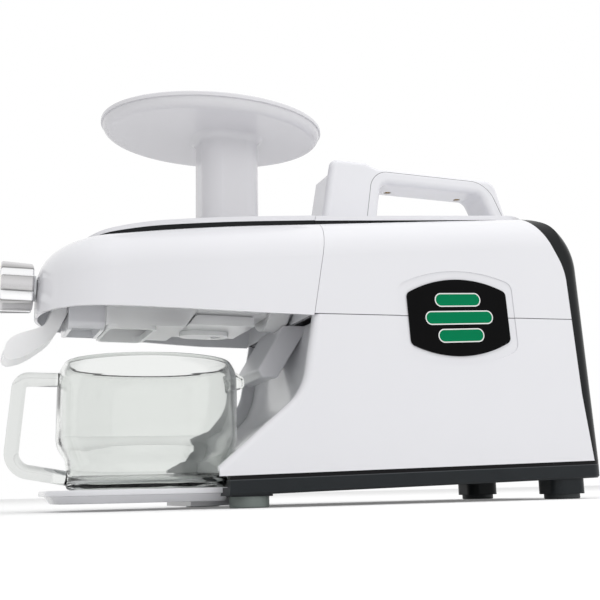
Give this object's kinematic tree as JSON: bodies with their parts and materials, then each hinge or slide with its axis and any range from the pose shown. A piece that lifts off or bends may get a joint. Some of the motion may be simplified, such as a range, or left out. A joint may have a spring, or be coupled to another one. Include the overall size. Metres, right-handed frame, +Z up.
{
  "type": "cold press juicer",
  "caption": "Horizontal cold press juicer with motor and gear train, meshing juicing gears under a lift-off hood, feed tray, pulp knob and chute, carrying handle, pitcher and drip tray.",
  "frame": {"origin": "on the worktop plane under the middle of the machine's bounding box", "axes": "+X from the adjusting knob to the rear panel, +Y across the machine, +Z up"},
  "size_m": [0.478, 0.1718, 0.3175],
  "materials": {
    "white_plastic": "gloss",
    "dark_gloss": "gloss",
    "slate_plastic": "satin",
    "grey_plastic": "satin",
    "gear_plastic": "satin",
    "rocker_red": "gloss",
    "chrome": "polished",
    "steel": "brushed",
    "aluminium": "cast",
    "brass": "satin",
    "copper": "varnished",
    "glass": "clear",
    "rubber": "matte",
    "board_green": "satin"
  },
  "bodies": {
    "base": {"badge_plates": "dark_gloss", "base_plate": "slate_plastic", "body_deck": "white_plastic", "body_trim": "dark_gloss", "cluster_axle": "steel", "control_board": "board_green", "cord_gland": "slate_plastic", "end_cap": "white_plastic", "foot_blocks": "slate_plastic", "foot_pads": "rubber", "front_wall": "white_plastic", "gearbox_case": "aluminium", "gearbox_cover": "aluminium", "handle_lower": "white_plastic", "handle_screws": "brass", "handle_upper": "white_plastic", "juice_strainer": "steel", "juicing_housing": "grey_plastic", "lower_housing": "white_plastic", "motor_bearings": "steel", "motor_cradle": "slate_plastic", "motor_front_bell": "aluminium", "motor_rear_bell": "aluminium", "motor_stator": "steel", "motor_windings": "copper", "neck_cover": "grey_plastic", "pulp_chute": "white_plastic", "rear_panel": "slate_plastic", "run_capacitor": "aluminium", "screen_latch": "white_plastic", "shaft_bearings": "steel", "shaft_seal": "rubber", "switch_housing": "white_plastic", "upper_housing": "white_plastic"},
    "rotor": {"motor_rotor": "steel", "motor_shaft": "steel", "motor_pinion": "steel", "cooling_fan": "gear_plastic"},
    "cluster": {"cluster_gear": "steel"},
    "output": {"output_gear": "steel", "drive_shaft": "steel", "drive_juicing_gear": "gear_plastic"},
    "driven": {"driven_juicing_gear": "gear_plastic"},
    "knob": {"adjusting_knob": "chrome", "knob_stem": "steel"},
    "nozzle": {"outlet_nozzle": "gear_plastic"},
    "rocker": {"power_rocker": "rocker_red"},
    "hood": {"hood_shell": "white_plastic", "hood_trim": "dark_gloss", "hood_deck": "white_plastic"},
    "feed_tray": {"hopper_tray": "white_plastic"},
    "drip_catcher": {"drip_tray": "white_plastic"},
    "pitcher": {"glass_pitcher": "glass"}
  },
  "joints": [
    {"name": "rotor_spin", "type": "hinge", "parent": "base", "child": "rotor", "pos_m": [0, 0, 0.095], "axis": [1, 0, 0], "continuous": true},
    {"name": "cluster_spin", "type": "hinge", "parent": "base", "child": "cluster", "pos_m": [0, 0.01125, 0.12814], "axis": [1, 0, 0], "continuous": true},
    {"name": "output_spin", "type": "hinge", "parent": "base", "child": "output", "pos_m": [0, -0.0155, 0.168], "axis": [1, 0, 0], "continuous": true},
    {"name": "driven_spin", "type": "hinge", "parent": "base", "child": "driven", "pos_m": [0, 0.0155, 0.168], "axis": [1, 0, 0], "continuous": true},
    {"name": "knob_turn", "type": "hinge", "parent": "base", "child": "knob", "pos_m": [0, 0, 0.168], "axis": [1, 0, 0], "range_deg": [-360, 360]},
    {"name": "nozzle_travel", "type": "slide", "parent": "base", "child": "nozzle", "axis": [1, 0, 0], "range_m": [-0.0026, 0.0026]},
    {"name": "rocker_tilt", "type": "hinge", "parent": "base", "child": "rocker", "pos_m": [0.0427, -0.0085, 0.2858], "axis": [0, 1, 0], "range_deg": [-12, 12]},
    {"name": "hood_lift", "type": "slide", "parent": "base", "child": "hood", "axis": [0, 0, 1], "range_m": [0, 0.12]},
    {"name": "feed_tray_lift", "type": "slide", "parent": "hood", "child": "feed_tray", "axis": [0, 0, 1], "range_m": [0, 0.13]},
    {"name": "drip_tray_pull", "type": "slide", "parent": "base", "child": "drip_catcher", "axis": [-1, 0, 0], "range_m": [0, 0.13]},
    {"name": "pitcher_pull", "type": "slide", "parent": "base", "child": "pitcher", "axis": [-0.4226, -0.9063, 0], "range_m": [0, 0.22]}
  ],
  "couplings": [
    {"joint": "cluster_spin", "follows": "rotor_spin", "ratio": -0.27273},
    {"joint": "output_spin", "follows": "rotor_spin", "ratio": 0.076364},
    {"joint": "driven_spin", "follows": "rotor_spin", "ratio": -0.076364},
    {"joint": "nozzle_travel", "follows": "knob_turn", "m_per_rad": 0.00039789}
  ]
}
